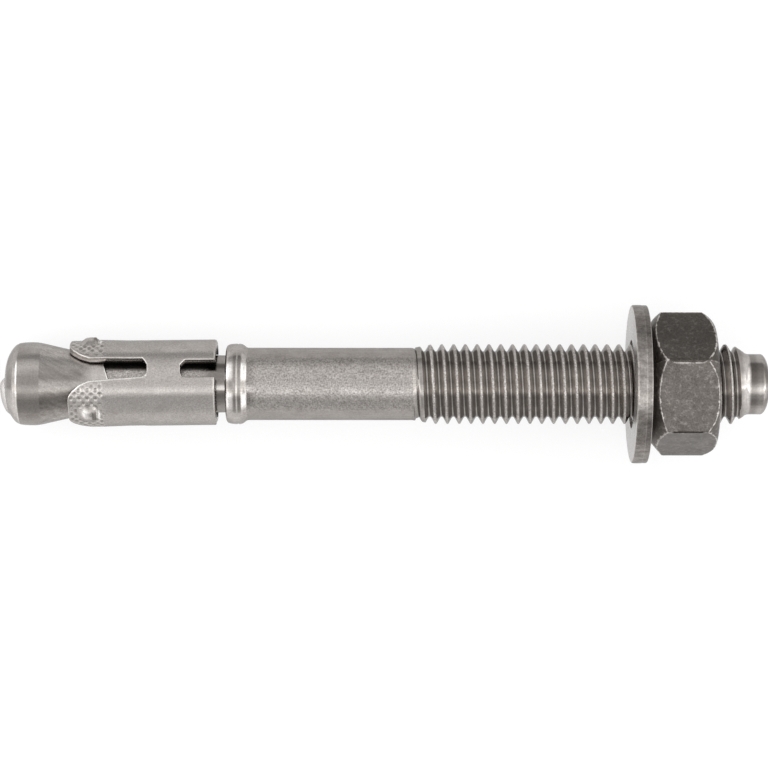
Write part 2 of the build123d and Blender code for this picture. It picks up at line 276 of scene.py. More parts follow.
# Height along the axis: one pitch for each turn, starting a turn early, held between the two ends
height = add_node(thread, "ShaderNodeMath", {0: row, 1: turn}, operation="ADD")
height = add_node(thread, "ShaderNodeMath", {0: height, 1: 1.0}, operation="SUBTRACT")
height = {0: height, 1: size["Pitch"], 2: size["Start"]}
height = add_node(thread, "ShaderNodeMath", height, operation="MULTIPLY_ADD")
height = add_node(thread, "ShaderNodeMath", {0: height, 1: size["Start"]}, operation="MAXIMUM")
height = add_node(thread, "ShaderNodeMath", {0: height, 1: size["End"]}, operation="MINIMUM")
# How far the row lies from the nearest crest, along the axis. The 100 keeps it above nought.
phase = add_node(thread, "ShaderNodeMath", {0: phase, 1: row}, operation="ADD")
phase = add_node(thread, "ShaderNodeMath", {0: phase, 1: 100.0}, operation="ADD")
phase = add_node(thread, "ShaderNodeMath", {0: phase, 1: 0.5}, operation="PINGPONG")
gap = add_node(thread, "ShaderNodeMath", {0: phase, 1: size["Pitch"]}, operation="MULTIPLY")
# Flanks at 30 degrees to the radius, softened where they meet crest and root
half_flat = add_node(thread, "ShaderNodeMath", {0: size["Crest flat"], 1: 0.5}, operation="MULTIPLY")
form = add_node(thread, "ShaderNodeMath", {0: half_flat, 1: gap}, operation="SUBTRACT")
form = {0: form, 1: math.sqrt(3), 2: size["Crest radius"]}
form = add_node(thread, "ShaderNodeMath", form, operation="MULTIPLY_ADD")
for part, limit in [("Crest", "SMOOTH_MIN"), ("Root", "SMOOTH_MAX")]:
    form = {0: form, 1: size[part + " radius"], 2: size[part + " softness"]}
    form = add_node(thread, "ShaderNodeMath", form, operation=limit)
# The form's reach near the ends, where the thread runs in and out
run_ends = {}
for part, inmost in [("Root", "MAXIMUM"), ("Crest", "MINIMUM")]:
    stop = add_node(thread, "ShaderNodeMath", {0: size["Start"], 1: size[part + " run-in"]}, operation="ADD")
    begin = add_node(thread, "ShaderNodeMath", {0: size["End"], 1: size["Run-out"]}, operation="SUBTRACT")
    inner = {"Value": height, 1: size["Start"], 2: stop, 3: size["Start radius"], 4: size[part + " radius"]}
    outer = {"Value": height, 1: begin, 2: size["End"], 3: size[part + " radius"], 4: size["End radius"]}
    sides = [add_node(thread, "ShaderNodeMapRange", side) for side in (inner, outer)]
    run_ends[part] = add_node(thread, "ShaderNodeMath", {0: sides[0], 1: sides[1]}, operation=inmost)
radius = add_node(thread, "ShaderNodeMath", {0: form, 1: run_ends["Crest"]}, operation="MINIMUM")
radius = add_node(thread, "ShaderNodeMath", {0: radius, 1: run_ends["Root"]}, operation="MAXIMUM")
angle = add_node(thread, "ShaderNodeMath", {0: turn, 1: 2 * math.pi}, operation="MULTIPLY")
place = {"X": height}
for axis, wave in [("Y", "COSINE"), ("Z", "SINE")]:
    share = add_node(thread, "ShaderNodeMath", {0: angle}, operation=wave)
    place[axis] = add_node(thread, "ShaderNodeMath", {0: share, 1: radius}, operation="MULTIPLY")
place = add_node(thread, "ShaderNodeCombineXYZ", place)
formed = add_node(thread, "GeometryNodeSetPosition", {"Geometry": grid, "Position": place})
welded = add_node(thread, "GeometryNodeMergeByDistance", {"Geometry": formed, "Distance": 1e-6})
real = add_node(thread, "GeometryNodeRealizeInstances", {"Geometry": welded})
finished = add_node(thread, "GeometryNodeSetMaterial", {"Geometry": real, "Material": size["Finish"]})
add_node(thread, "NodeGroupOutput", {0: finished})

# Every steel here works out one reflectance. This group adds the tumbled metal's grain and clouds
# and painted shade on the sides to it, and gives its colour, because stainless steel looks browner
# where it is darker.
wear = {"Float": ["Reflectance", "Grain", "Clouding", "Roughness"]}
made = {"Color": ["Colour"], "Float": ["Roughness", "Height"]}
wear_and_side_shade, given = new_group("tumbled_steel_and_side_shade", "ShaderNodeTree", wear, made)
spot = find_place(wear_and_side_shade)
# 0.25 mm grit and 2 mm clouds
grit = {"Vector": spot["here"], "Scale": 4300.0, "Detail": 2.0, "Roughness": 0.55}
grit = add_node(wear_and_side_shade, "ShaderNodeTexNoise", grit)
clouds = {"Vector": spot["here"], "Scale": 450.0, "Detail": 4.0, "Roughness": 0.6}
clouds = add_node(wear_and_side_shade, "ShaderNodeTexNoise", clouds)
speckle = add_node(wear_and_side_shade, "ShaderNodeMath", {0: grit, 1: 0.5}, operation="SUBTRACT")
speckle = add_node(wear_and_side_shade, "ShaderNodeMath", {0: speckle, 1: given["Grain"]}, operation="MULTIPLY")
speckle = add_node(wear_and_side_shade, "ShaderNodeMath", {0: speckle, 1: 2.4, 2: 1.0}, operation="MULTIPLY_ADD")
cloud = add_node(wear_and_side_shade, "ShaderNodeMath", {0: clouds, 1: 0.5}, operation="SUBTRACT")
cloud_tone = add_node(wear_and_side_shade, "ShaderNodeMath", {0: cloud, 1: given["Clouding"], 2: 1.0}, operation="MULTIPLY_ADD")
# Painted shade: the sides are painted duller than the top
SHADED_SIDES = [
    (-180, 1), (-75, 1), (-50, 0.94), (-36, 1), (30, 1), (42, 0.88), (58, 0.84), (75, 0.94), (90, 1),
    (180, 1),
]
sides = add_node(wear_and_side_shade, "ShaderNodeValToRGB", {"Fac": spot["turn"]}, stops=by_turn(SHADED_SIDES))
level = given["Reflectance"]
for factor in (sides, speckle, cloud_tone):
    level = add_node(wear_and_side_shade, "ShaderNodeMath", {0: level, 1: factor}, operation="MULTIPLY")
COLOURS = [
    (0.0, "#0B0A08"), (0.05, "#433F3B"), (0.15, "#716C68"), (0.3, "#9A9591"), (0.5, "#C1BCB8"),
    (0.7, "#DEDAD7"), (1.0, "#FCFAF7"),
]
colour = add_node(wear_and_side_shade, "ShaderNodeValToRGB", {"Fac": level}, stops=COLOURS)
rough = add_node(wear_and_side_shade, "ShaderNodeMath", {0: cloud, 1: -0.3, 2: given["Roughness"]}, operation="MULTIPLY_ADD")
height = add_node(wear_and_side_shade, "ShaderNodeMath", {0: grit, 1: given["Grain"]}, operation="MULTIPLY")
add_node(wear_and_side_shade, "NodeGroupOutput", {"Colour": colour, "Roughness": rough, "Height": height})


def finish_steel(tree, tone, grain, clouding, rough, depth, relief=0.0, tint="#CCCCCC"):
    """Ends a steel's tree, from its reflectance and what tumbling did to it.

    depth is that of the grain's bumps in metres, relief adds bumps to it, and tint colours
    glancing light.
    """
    surface = {"Reflectance": tone, "Grain": grain, "Clouding": clouding, "Roughness": rough}
    surface = add_node(tree, "ShaderNodeGroup", surface, node_tree=wear_and_side_shade).outputs
    relief = add_node(tree, "ShaderNodeMath", {0: relief, 1: surface["Height"]}, operation="ADD")
    bump = add_node(tree, "ShaderNodeBump", {"Height": relief, "Strength": 1.0, "Distance": depth})
    steel = {"Base Color": surface["Colour"], "Metallic": 1.0, "Roughness": surface["Roughness"]}
    steel |= {"Normal": bump, "Specular Tint": linear(tint)}
    add_node(tree, "ShaderNodeOutputMaterial", {0: add_node(tree, "ShaderNodeBsdfPrincipled", steel)})


# Cold-formed and rolled stainless steel, tumbled: grainy and satin on the shank and the crests,
# and polished by the dies on the cone, the collar and the dog point. Bands along the bar that are
# darker or brighter, given here in degrees from the top, are painted highlights and painted shade.
LIGHT_AND_SHADE_BANDS = {
    "bevel": [
        (-180, 0.42), (-60, 0.5), (-40, 0.56), (-12, 0.4), (-6, 0.26), (12, 0.28), (40, 0.4), (60, 0.5),
        (180, 0.42),
    ],
    "corner": [
        (-180, 0.5), (-60, 0.62), (-14, 0.6), (-8, 0.36), (-2, 0.5), (3, 1.0), (29, 1.0), (35, 0.4),
        (180, 0.5),
    ],
    "land": [
        (-180, 0.28), (-150, 0.36), (-120, 0.27), (-90, 0.4), (-71, 0.4), (-58, 0.3), (-45, 0.23),
        (-34, 0.21), (-21, 0.22), (-15, 0.19), (-9, 0.26), (6, 0.25), (12, 0.27), (18, 0.32), (24, 0.4),
        (30, 0.39), (37, 0.33), (50, 0.32), (63, 0.42), (90, 0.4), (130, 0.26), (160, 0.34), (180, 0.28),
    ],
    "cone": [
        (-180, 0.3), (-150, 0.36), (-120, 0.26), (-90, 0.4), (-65, 0.38), (-53, 0.29), (-44, 0.25),
        (-36, 0.19), (-26, 0.165), (-16, 0.16), (-11, 0.27), (-4, 0.35), (2, 0.34), (7, 0.22), (14, 0.2),
        (21, 0.22), (27, 0.27), (34, 0.31), (42, 0.38), (61, 0.4), (90, 0.4), (130, 0.24), (180, 0.3),
    ],
    # The neck's darkest levels are a painted shadow under the sleeve's finger, its brightest a painted
    # highlight
    "neck": [
        (-180, 0.3), (-90, 0.28), (-25, 0.24), (-16, 0.25), (-13, 0.4), (-5, 0.4), (-2, 0.36), (26, 0.4),
        (33, 0.05), (43, 0.04), (50, 0.22), (60, 0.28), (180, 0.3),
    ],
    "smooth neck": [
        (-180, 0.3), (-60, 0.3), (-40, 0.22), (-17, 0.14), (-14, 0.14), (-11, 0.5), (-5, 0.5), (-1, 0.26),
        (8, 0.2), (30, 0.18), (36, 0.12), (46, 0.24), (60, 0.3), (180, 0.3),
    ],
    "collar's flanks": [
        (-180, 0.42), (-60, 0.42), (-42, 0.45), (-35, 0.8), (-18, 0.85), (-12, 0.36), (-4, 0.28), (2, 0.3),
        (9, 0.72), (27, 0.8), (36, 0.45), (50, 0.42), (180, 0.42),
    ],
    "collar's crest": [
        (-180, 0.46), (-60, 0.46), (-48, 0.38), (-42, 0.28), (-18, 0.2), (-9, 0.25), (-4, 0.36),
        (8, 0.34), (14, 0.27), (36, 0.26), (42, 0.22), (49, 0.32), (58, 0.46), (180, 0.46),
    ],
    "shank by collar": [
        (-180, 0.36), (-44, 0.36), (-34, 0.2), (-14, 0.18), (-11, 0.5), (-5, 0.5), (-1, 0.27), (36, 0.25),
        (44, 0.36), (180, 0.36),
    ],
    "shank": [
        (-180, 0.36), (-60, 0.36), (-18, 0.345), (-13, 0.37), (-8, 0.36), (5, 0.35), (32, 0.35),
        (42, 0.32), (55, 0.32), (65, 0.36), (180, 0.36),
    ],
    "dog": [
        (-180, 0.25), (-150, 0.2), (-110, 0.32), (-73, 0.33), (-55, 0.28), (-43, 0.19), (-34, 0.16),
        (-25, 0.23), (-17, 0.27), (-9, 0.32), (-2, 0.25), (5, 0.15), (13, 0.11), (21, 0.11), (29, 0.09),
        (38, 0.13), (48, 0.22), (62, 0.27), (90, 0.3), (120, 0.2), (160, 0.3), (180, 0.25),
    ],
}
stud_steel, tree = new_material("cold_formed_stainless_steel")
spot = find_place(tree)
height = spot["height"]
# Painted highlights and painted shade of each part, by the turn about the axis
painted_bands = {}
for part, levels in LIGHT_AND_SHADE_BANDS.items():
    painted_bands[part] = add_node(tree, "ShaderNodeValToRGB", {"Fac": spot["turn"]}, stops=by_turn(levels))
# Masks that rise from nought to one where each part of the bar begins, between these heights
on = {}
for part, start, stop in [
    ("bevel", 1.1, 1.6),
    ("land", 3.1, 3.24),
    ("cone", 6.35, 6.5),
    ("seat", 12.3, 14.4),
    ("smooth neck", 29.5, 31.5),
    ("collar", 33.55, 33.6),
    ("collar's crest", 34.55, 34.95),
    ("collar's rear", 35.9, 36.1),
    ("shank", 36.65, 36.9),
    ("plain shank", 36.9, 38.2),
    ("thread", 61.0, 61.8),
    ("dog", 109.6, 110.2),
    ("dog's side", 110.8, 111.1),
    ("dog's end", 113.75, 113.95),
]:
    on[part] = add_node(tree, "ShaderNodeMapRange", {"Value": height, 1: start, 2: stop})
near_top = near_line(tree, spot["turn"], 0.5, 0.11, 0.14)
# The nub and the bevel round it are paler than the land, with a painted highlight on the corner between
tone = add_node(tree, "ShaderNodeMix", {"Factor": on["bevel"], "A": 0.7, "B": painted_bands["bevel"]})
tone = add_node(tree, "ShaderNodeMix", {"Factor": on["land"], "A": tone, "B": painted_bands["land"]})
corner = near_line(tree, height, 3.06, 0.06, 0.15, 0.9)
tone = add_node(tree, "ShaderNodeMix", {"Factor": corner, "A": tone, "B": painted_bands["corner"]})
# Strokes lean across the cone, where it slid in the die
slid = {"Vector": spot["here"], "Rotation": (0, 0, math.radians(-28)), "Scale": (0.006, 0.0006, 0.0006)}
slid = add_node(tree, "ShaderNodeMapping", slid, vector_type="TEXTURE")
strokes = {"Vector": slid, "Scale": 1.0, "Detail": 3.0, "Roughness": 0.6}
strokes = add_node(tree, "ShaderNodeTexNoise", strokes)
strokes = add_node(tree, "ShaderNodeMapRange", {"Value": strokes, 1: 0.3, 2: 0.7, 3: 0.78, 4: 1.24})
cone_tone = add_node(tree, "ShaderNodeMath", {0: painted_bands["cone"], 1: strokes}, operation="MULTIPLY")
# The neck's step was cut askew, as its mesh is
askew = {0: spot["side"], 1: STEP_LEAN / MM, 2: height}
askew = add_node(tree, "ShaderNodeMath", askew, operation="MULTIPLY_ADD")
on["neck"] = add_node(tree, "ShaderNodeMapRange", {"Value": askew, 1: 16.7, 2: 16.78})
step = near_line(tree, askew, 16.63, 0.04, 0.11)
# The collar's crest lies between its two polished flanks, with a painted highlight near the top along the
# line rolled round it
crest = {0: on["collar's crest"], 1: on["collar's rear"]}
crest = add_node(tree, "ShaderNodeMath", crest, operation="SUBTRACT")
collar = {"Factor": crest, "A": painted_bands["collar's flanks"], "B": painted_bands["collar's crest"]}
collar = add_node(tree, "ShaderNodeMix", collar)
groove_highlight = near_line(tree, height, 35.33, 0.05, 0.15, 0.75)
groove_highlight = add_node(tree, "ShaderNodeMath", {0: groove_highlight, 1: near_top}, operation="MULTIPLY")
collar = add_node(tree, "ShaderNodeMix", {"Factor": groove_highlight, "A": collar, "B": 0.5})
shank = {"Factor": on["plain shank"], "A": painted_bands["shank by collar"], "B": painted_bands["shank"]}
shank = add_node(tree, "ShaderNodeMix", shank)
shank_grain = add_node(tree, "ShaderNodeMix", {"Factor": near_top, "A": 0.3, "B": 0.85})
# The thread's reflectance, grain and roughness, each in its roots and then on its crests. The roots'
# lower reflectance is painted shade in the grooves.
on_crest = add_node(tree, "ShaderNodeMapRange", {"Value": spot["reach"], 1: 5.6, 2: 5.78})
thread_look = []
for root, crest in [(0.3, 0.46), (0.12, 0.9), (0.17, 0.4)]:
    thread_look.append(add_node(tree, "ShaderNodeMix", {"Factor": on_crest, "A": root, "B": crest}))
# The dog point's bands are painted highlights and shade; its chamfer is a painted highlight, and its
# side is lighter towards the end, which is paler
dog = add_node(tree, "ShaderNodeMapRange", {"Value": height, 1: 111.7, 2: 112.3, 3: 1.0, 4: 1.5})
dog = add_node(tree, "ShaderNodeMath", {0: painted_bands["dog"], 1: dog}, operation="MULTIPLY")
dog = add_node(tree, "ShaderNodeMix", {"Factor": on["dog's side"], "A": 0.5, "B": dog})
dog = add_node(tree, "ShaderNodeMix", {"Factor": on["dog's end"], "A": dog, "B": 0.4})
# Reflectance, grain and roughness of the nub, bevel and land, and then of each part behind them
look = [tone, 0.25, 0.24]
for part, *part_look in [
    ("cone", cone_tone, 0.3, 0.25),
    ("seat", 0.44, 0.25, 0.28),
    ("neck", painted_bands["neck"], 1.0, 0.45),
    ("smooth neck", painted_bands["smooth neck"], 0.25, 0.2),
    ("collar", collar, 0.3, 0.2),
    ("shank", shank, shank_grain, 0.34),
    ("thread", *thread_look),
    ("dog", dog, 0.2, 0.18),
]:
    for k, value in enumerate(part_look):
        look[k] = add_node(tree, "ShaderNodeMix", {"Factor": on[part], "A": look[k], "B": value})
# Painted highlight: the step's edge is drawn bright
tone = add_node(tree, "ShaderNodeMix", {"Factor": step, "A": look[0], "B": 0.9})
# Streaks drawn along the bar by the dies
drawn = add_node(tree, "ShaderNodeMapping", {"Vector": spot["here"], "Scale": (90.0, 2200.0, 2200.0)})
streaks = add_node(tree, "ShaderNodeTexNoise", {"Vector": drawn, "Scale": 1.0, "Detail": 2.0})
streaks = add_node(tree, "ShaderNodeMath", {0: streaks, 1: 0.3, 2: 0.85}, operation="MULTIPLY_ADD")
tone = add_node(tree, "ShaderNodeMath", {0: tone, 1: streaks}, operation="MULTIPLY")
# Rings that the cropping tool left on the tip's face and bevel
rings = add_node(tree, "ShaderNodeMath", {0: spot["reach"], 1: 18.0}, operation="MULTIPLY")
rings = add_node(tree, "ShaderNodeMath", {0: rings}, operation="SINE")
on_tip = add_node(tree, "ShaderNodeMapRange", {"Value": height, 1: 2.5, 2: 3.0, 3: 0.35, 4: 0.0})
rings = add_node(tree, "ShaderNodeMath", {0: rings, 1: on_tip}, operation="MULTIPLY")
finish_steel(tree, tone, look[1], 0.4, look[2], 0.02 * MM, relief=rings)

thread_sizes = {
    "Pitch": 1.75 * MM,
    "Crest radius": 5.915 * MM,
    "Root radius": ROOT_RADIUS * MM,
    "Crest flat": 0.26 * MM,
    "Start": float(along(THREAD_START)),
    "End": float(along(THREAD_END)),
    "Crest at": float(along(77.81)),
    "Start radius": SHANK_RADIUS * MM,
    "End radius": ROOT_RADIUS * MM,
    "Root run-in": 1.2 * MM,
    "Crest run-in": 3.0 * MM,
    "Run-out": 1.6 * MM,
    "Crest softness": 0.16 * MM,
    "Root softness": 0.22 * MM,
    "Turns": 29,
    "Rows a turn": 15,
    "Segments": SEGMENTS,
    "Finish": stud_steel,
}
stud_thread = plain_mesh(thread, thread_sizes, "stud_thread")
tip = dense(smooth_outline(TIP_OUTLINE), 0.2)
shank = smooth_outline(TIP_OUTLINE[-1:] + CONE_OUTLINE + NECK_OUTLINE + COLLAR_OUTLINE)
points, quads = lathe(np.concatenate([tip, dense(shank, 0.8)[1:]]))
# The step behind the cone was cut slightly askew
height = points[:, 0] / MM + SEAT_FROM_TIP
lean = np.clip(1 - np.abs(height - STEP_AT) / 3, 0, 1)
points[:, 0] += (STEP_SHIFT * MM - STEP_LEAN * points[:, 1]) * lean
# The end was cropped off its neighbour in the forming press, which left the stub beside the axis
low = -points[:, 1] / MM
half_width = NUB_HALF_WIDTH * np.sqrt(np.clip(1 - ((low - NUB_MIDDLE) / NUB_HALF_LENGTH) ** 2, 0.02, 1))
near = np.clip(1 - (points[:, 2] / MM / half_width) ** 2, 0, 1) ** 0.75
lift = np.interp(low, *np.array(NUB_OUTLINE).T) * near
on_face = np.clip((2.0 - (points[:, 0] / MM + SEAT_FROM_TIP)) / 0.4, 0, 1)
points[:, 0] -= lift * on_face * MM
front = new_mesh("stud_front", points, quads)
back = new_mesh("stud_back", *lathe(dense(DOG_OUTLINE, 0.25)))
stud = new_piece("stud", [front, stud_thread, back], stud_steel)
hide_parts("anchor_bolt")
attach(stud, "bolt")

# The sleeve is a strip of stainless sheet, punched flat and rolled round the neck with its seam
# open at the back. Three fingers reach over the cone, each with a pattern of small pits and a
# bump pressed outwards that is sheared on its rear side, so that it grips the hole.
SLEEVE_RADIUS = 6.33
SLEEVE_BORE = 5.13
SLEEVE_FRONT = 10.6
SLEEVE_REAR = 32.251
SLOT_CENTRES = (68, 188, 308)
SEAM_IN_SLOT = 2
SEAM_GAP = 0.4
# A finger's rounded end: parts of its half width, and how far behind its front each lies
FINGER_TIP = [
    (0, 0), (0.26, 0), (0.35, 0.01), (0.42, 0.04), (0.49, 0.12), (0.55, 0.25), (0.61, 0.46),
    (0.68, 0.74), (0.74, 1.08), (0.81, 1.42), (0.87, 1.8), (0.93, 2.4), (0.985, 3.05), (1, 3.3),
]
TIP_CORNER = 0.72
SLOT_END = 22.2
REAR_SLOT_END = 27.151
END_DEPTH = 0.7
# A slot's two sides, in degrees from its centre: at its mouth, at its end and in the rear slot
LOW_SIDE, LOW_SIDE_END, HIGH_SIDE, REAR_LOW_SIDE, REAR_HIGH_SIDE = 18, 13, 14, 14.5, 10.5
FINGER_CELL = 0.105
FINE_LENGTH = 5.1
FINGER_LENGTH = 10.4
BUMP = dict(start=11.9, top=13.25, step=14.4, foot=15.0, height=0.62, aside=0.8, half_width=1.9)
SLIT = dict(at=14.7, width=0.13, depth=0.12)
EDGE_ROUND = 0.2
REAR_ROUND = 0.45
PITS_FROM = 9.949
ARC = SLEEVE_RADIUS * math.pi / 180


def follow(points, fraction):
    """The places at these fractions of the length of a line of (height, angle) points."""
    steps = np.hypot(*(np.diff(points, axis=0) * (1, ARC)).T)
    reached = np.concatenate([[0], np.cumsum(steps)])
    wanted = np.asarray(fraction) * reached[-1]
    return np.stack([np.interp(wanted, reached, points[:, 0]), np.interp(wanted, reached, points[:, 1])], -1)


def span(front, back, left, right, across, down):
    """A grid of (height, angle) between four lines that meet at their ends."""
    front, back = follow(front, across)[None], follow(back, across)[None]
    left, right = follow(left, down)[:, None], follow(right, down)[:, None]
    u, v = across[None, :, None], down[:, None, None]
    front_ends = (1 - u) * front[:, :1] + u * front[:, -1:]
    back_ends = (1 - u) * back[:, :1] + u * back[:, -1:]
    ends = (1 - v) * front_ends + v * back_ends
    return (1 - v) * front + v * back + (1 - u) * left + u * right - ends


def graded(length, cell, near=(0.05, 0.12, 0.2), first=True, last=True):
    """Fractions of a length in even cells, closer together beside its edges."""
    start = list(near) if first else []
    stop = [length - n for n in near[::-1]] if last else []
    low, high = (start[-1] if start else 0), (stop[0] if stop else length)
    count = max(1, round((high - low) / cell))
    middle = list(np.linspace(low, high, count + 1))
    return np.unique(np.round(np.array([0] + start[:-1] + middle + stop[1:] + [length]) / length, 9))


across = graded((120 - LOW_SIDE_END - HIGH_SIDE) * ARC, FINGER_CELL)
# Rows grow further apart behind the pits
down = graded(FINE_LENGTH, FINGER_CELL, last=False) * FINE_LENGTH
longer = (np.arange(1, 11) / 10) ** 1.4 * (FINGER_LENGTH - FINE_LENGTH)
down = np.concatenate([down, FINE_LENGTH + longer]) / FINGER_LENGTH
low_side = [(SLOT_END - END_DEPTH, LOW_SIDE_END)]
high_side = [(SLOT_END - END_DEPTH, 120 - HIGH_SIDE)]
# Half of a finger's rounded end, cut in two where the grid's front meets its sides
tip_line = smooth_outline([(SLEEVE_FRONT + depth, part) for part, depth in FINGER_TIP])
cut = int(np.searchsorted(tip_line[:, 1], TIP_CORNER))
low_tip = np.stack([tip_line[:, 0], 60 - (60 - LOW_SIDE) * tip_line[:, 1]], 1)
high_tip = np.stack([tip_line[:, 0], 60 + (60 - HIGH_SIDE) * tip_line[:, 1]], 1)
finger = span(
    np.concatenate([low_tip[cut::-1], high_tip[1 : cut + 1]]),
    np.array(low_side + high_side),
    np.concatenate([low_tip[cut:], low_side]),
    np.concatenate([high_tip[cut:], high_side]),
    across,
    down,
)
# The band behind the fingers, and the tail beside the rear slots
band_length = REAR_SLOT_END + 2 * END_DEPTH - SLOT_END
tail_length = SLEEVE_REAR - REAR_SLOT_END - END_DEPTH
band_rows = SLOT_END - END_DEPTH + graded(band_length, 0.42) * band_length
tail_rows = graded(tail_length, 0.4, near=(0.05, 0.12, 0.21, 0.32, 0.46), first=False) * tail_length
tail_rows += band_rows[-1]
part = (band_rows - band_rows[0]) / band_length
low_edge = LOW_SIDE_END + part * (REAR_LOW_SIDE - LOW_SIDE_END)
high_edge = HIGH_SIDE + part * (REAR_HIGH_SIDE - HIGH_SIDE)
turns = low_edge[:, None] + across[None] * (120 - high_edge - low_edge)[:, None]
band = np.stack([np.repeat(band_rows[:, None], len(across), 1), turns], -1)
turns = np.repeat(turns[-1:], len(tail_rows), 0)
tail = np.stack([np.repeat(tail_rows[:, None], len(across), 1), turns], -1)


def web(first, last):
    """The part of the band between a front slot's end and a rear slot's end."""
    shape = graded((last - first) * HIGH_SIDE * ARC, 0.17)
    share = np.stack([first + shape * (last - first)] * len(band_rows))
    turns = share * np.where(share > 0, low_edge[:, None], high_edge[:, None])
    # The slot's corner is cut off at its high side, and nearly square at its low side
    beside = 1 - np.abs(share)
    high_bow, low_bow = np.clip(beside / 0.7, 0, 1) ** 0.85, np.clip(beside / 0.45, 0, 1) ** 0.35
    bow = np.where(share > 0, low_bow, high_bow) * END_DEPTH
    return np.stack([band_rows[:, None] + (1 - 2 * part)[:, None] * bow, turns], -1)


half_gap = SEAM_GAP / 2 / ARC / LOW_SIDE_END
sheet = bmesh.new()
for number, centre in enumerate(SLOT_CENTRES):
    webs = [web(-1, 1)]
    if number == SEAM_IN_SLOT:
        webs = [web(-1, -half_gap), web(half_gap, 1)]
    for block in [finger, band, tail] + webs:
        turn = np.radians(block[..., 1] + centre)
        spots = np.stack([block[..., 0], np.cos(turn) * SLEEVE_RADIUS, np.sin(turn) * SLEEVE_RADIUS], -1)
        corners = [[sheet.verts.new(p) for p in line] for line in spots]
        for here, after in zip(corners, corners[1:]):
            for k in range(len(here) - 1):
                sheet.faces.new((here[k], after[k], after[k + 1], here[k + 1]))
bmesh.ops.remove_doubles(sheet, verts=sheet.verts, dist=0.004)
sheet.verts.index_update()
rim = [(e.verts[0].index, e.verts[1].index) for e in sheet.edges if e.is_boundary]
outer = np.array([v.co for v in sheet.verts])
quads = [[v.index for v in f.verts] for f in sheet.faces if len(f.verts) == 4]
extra = [[v.index for v in f.verts] for f in sheet.faces if len(f.verts) != 4]
sheet.free()

# How far each point is from the sheet's nearest edge, for the rounding of punched edges
edges = kdtree.KDTree(len(rim) * 4)
for number, (a, b) in enumerate(rim):
    for k in range(4):
        edges.insert(outer[a] + (outer[b] - outer[a]) * k / 4, number * 4 + k)
edges.balance()
found = [edges.find(p) for p in outer]
inset = np.array([f[2] for f in found])
at_rear = np.array([f[0][0] > SLEEVE_REAR - 0.05 for f in found])
inset[np.unique(rim)] = 0
height = outer[:, 0]
turn = np.degrees(np.arctan2(outer[:, 2], outer[:, 1]))
around = ((turn - SLOT_CENTRES[0] + 360) % 120 - 60) * ARC
round_size = np.where(at_rear, REAR_ROUND, EDGE_ROUND)
dip = round_size - np.sqrt(round_size**2 - np.clip(round_size - inset, 0, None) ** 2)


def ease(value, start, stop):
    """Nought before start, one after stop, and a smooth rise between them."""
    part = np.clip((np.asarray(value) - start) / (stop - start), 0, 1)
    return part * part * (3 - 2 * part)


def between(value, start, full, fade, stop):
    """One between full and fade, nought before start and after stop, and smooth in between."""
    return ease(value, start, full) - ease(value, fade, stop)


def hump(value, centre, width):
    """A smooth hump, one high at its centre."""
    return np.exp(-(((value - centre) / width) ** 2))


rise = between(height, BUMP["start"], BUMP["top"], BUMP["step"], BUMP["foot"])
beside = np.abs(around - BUMP["aside"])
rise = rise * np.clip(1 - (beside / BUMP["half_width"]) ** 2, 0, 1) ** 2 * BUMP["height"]
rise -= SLIT["depth"] * hump(height, SLIT["at"], SLIT["width"]) * (1 - ease(beside, 0.7, 1.1))
# The strip kept its flatness beside the slots when it was rolled
rise += 0.2 * hump(around / ARC, -30, 17)
# The fingers are sprung outwards a little where they ride on the cone's seat
spread = 0.1 * between(height, 11.5, 14, 15.5, 20)
radius = SLEEVE_RADIUS - dip + rise + spread
inside = SLEEVE_BORE + spread + np.clip(0.1 - inset, 0, None)
# Rows of points through the sheet join its two faces along the rim
rim_points = np.unique(rim)
turn = np.radians(turn)
points = [turned(height, level, turn) for level in (radius, inside)]
for k in (0.08, 0.36, 0.64, 0.92):
    points.append(turned(height, radius + (inside - radius) * k, turn)[rim_points])
count = len(outer)
where = {int(p): k for k, p in enumerate(rim_points)}
starts = [0] + [2 * count + k * len(rim_points) for k in range(4)] + [count]
faces = quads + extra
faces += [[count + i for i in f[::-1]] for f in faces]
for a, b in rim:
    for k in range(5):
        upper = (a, b) if k == 0 else (starts[k] + where[a], starts[k] + where[b])
        lower = (count + a, count + b) if k == 4 else (starts[k + 1] + where[a], starts[k + 1] + where[b])
        faces.append([upper[0], upper[1], lower[1], lower[0]])
# It lies slightly askew on the neck, with its rear further towards +Y
points = np.concatenate(points)
points[:, 1] += (0.05 + 0.0115 * (points[:, 0] / MM + SEAT_FROM_TIP - 17.5)) * MM
sheet = new_mesh("sleeve_sheet", points, faces)
# Pits only where the punch reached: clear of the edges, of the bump and of the rear
from_bump = np.hypot((height - 13.4) * 0.9, beside)
punched = ease(inset, 0.15, 0.5) * (1 - ease(height, 15.7, 15.95)) * ease(from_bump, 1.3, 1.6)
# Painted light and shade round the bump: painted shade in the slit behind it and on one slope of its
# crown, and painted highlights on two bands of the lip past the slit and on the crown
aside = around - BUMP["aside"]
near = 1 - ease(beside, 0.75, 1.0)
sheared = 1.4 * between(height, 15.02, 15.08, 15.26, 15.34) * near
sheared += 0.5 * between(height, 14.78, 14.82, 14.88, 14.92) * near
sheared -= 0.55 * between(height, 14.0, 14.3, 14.7, 14.76) * (1 - ease(beside, 0.5, 1.0))
sheared += 1.6 * hump(height, 13.2, 0.5) * hump(aside, -0.45, 0.5)
sheared -= 0.4 * hump(height, 13.8, 0.7) * hump(aside, -1.4, 0.6)
# A painted highlight along the edge of each slot's low side
sheared += 0.75 * (1 - ease(inset, 0.16, 0.28)) * ((around < -3) & (height < SLOT_END))
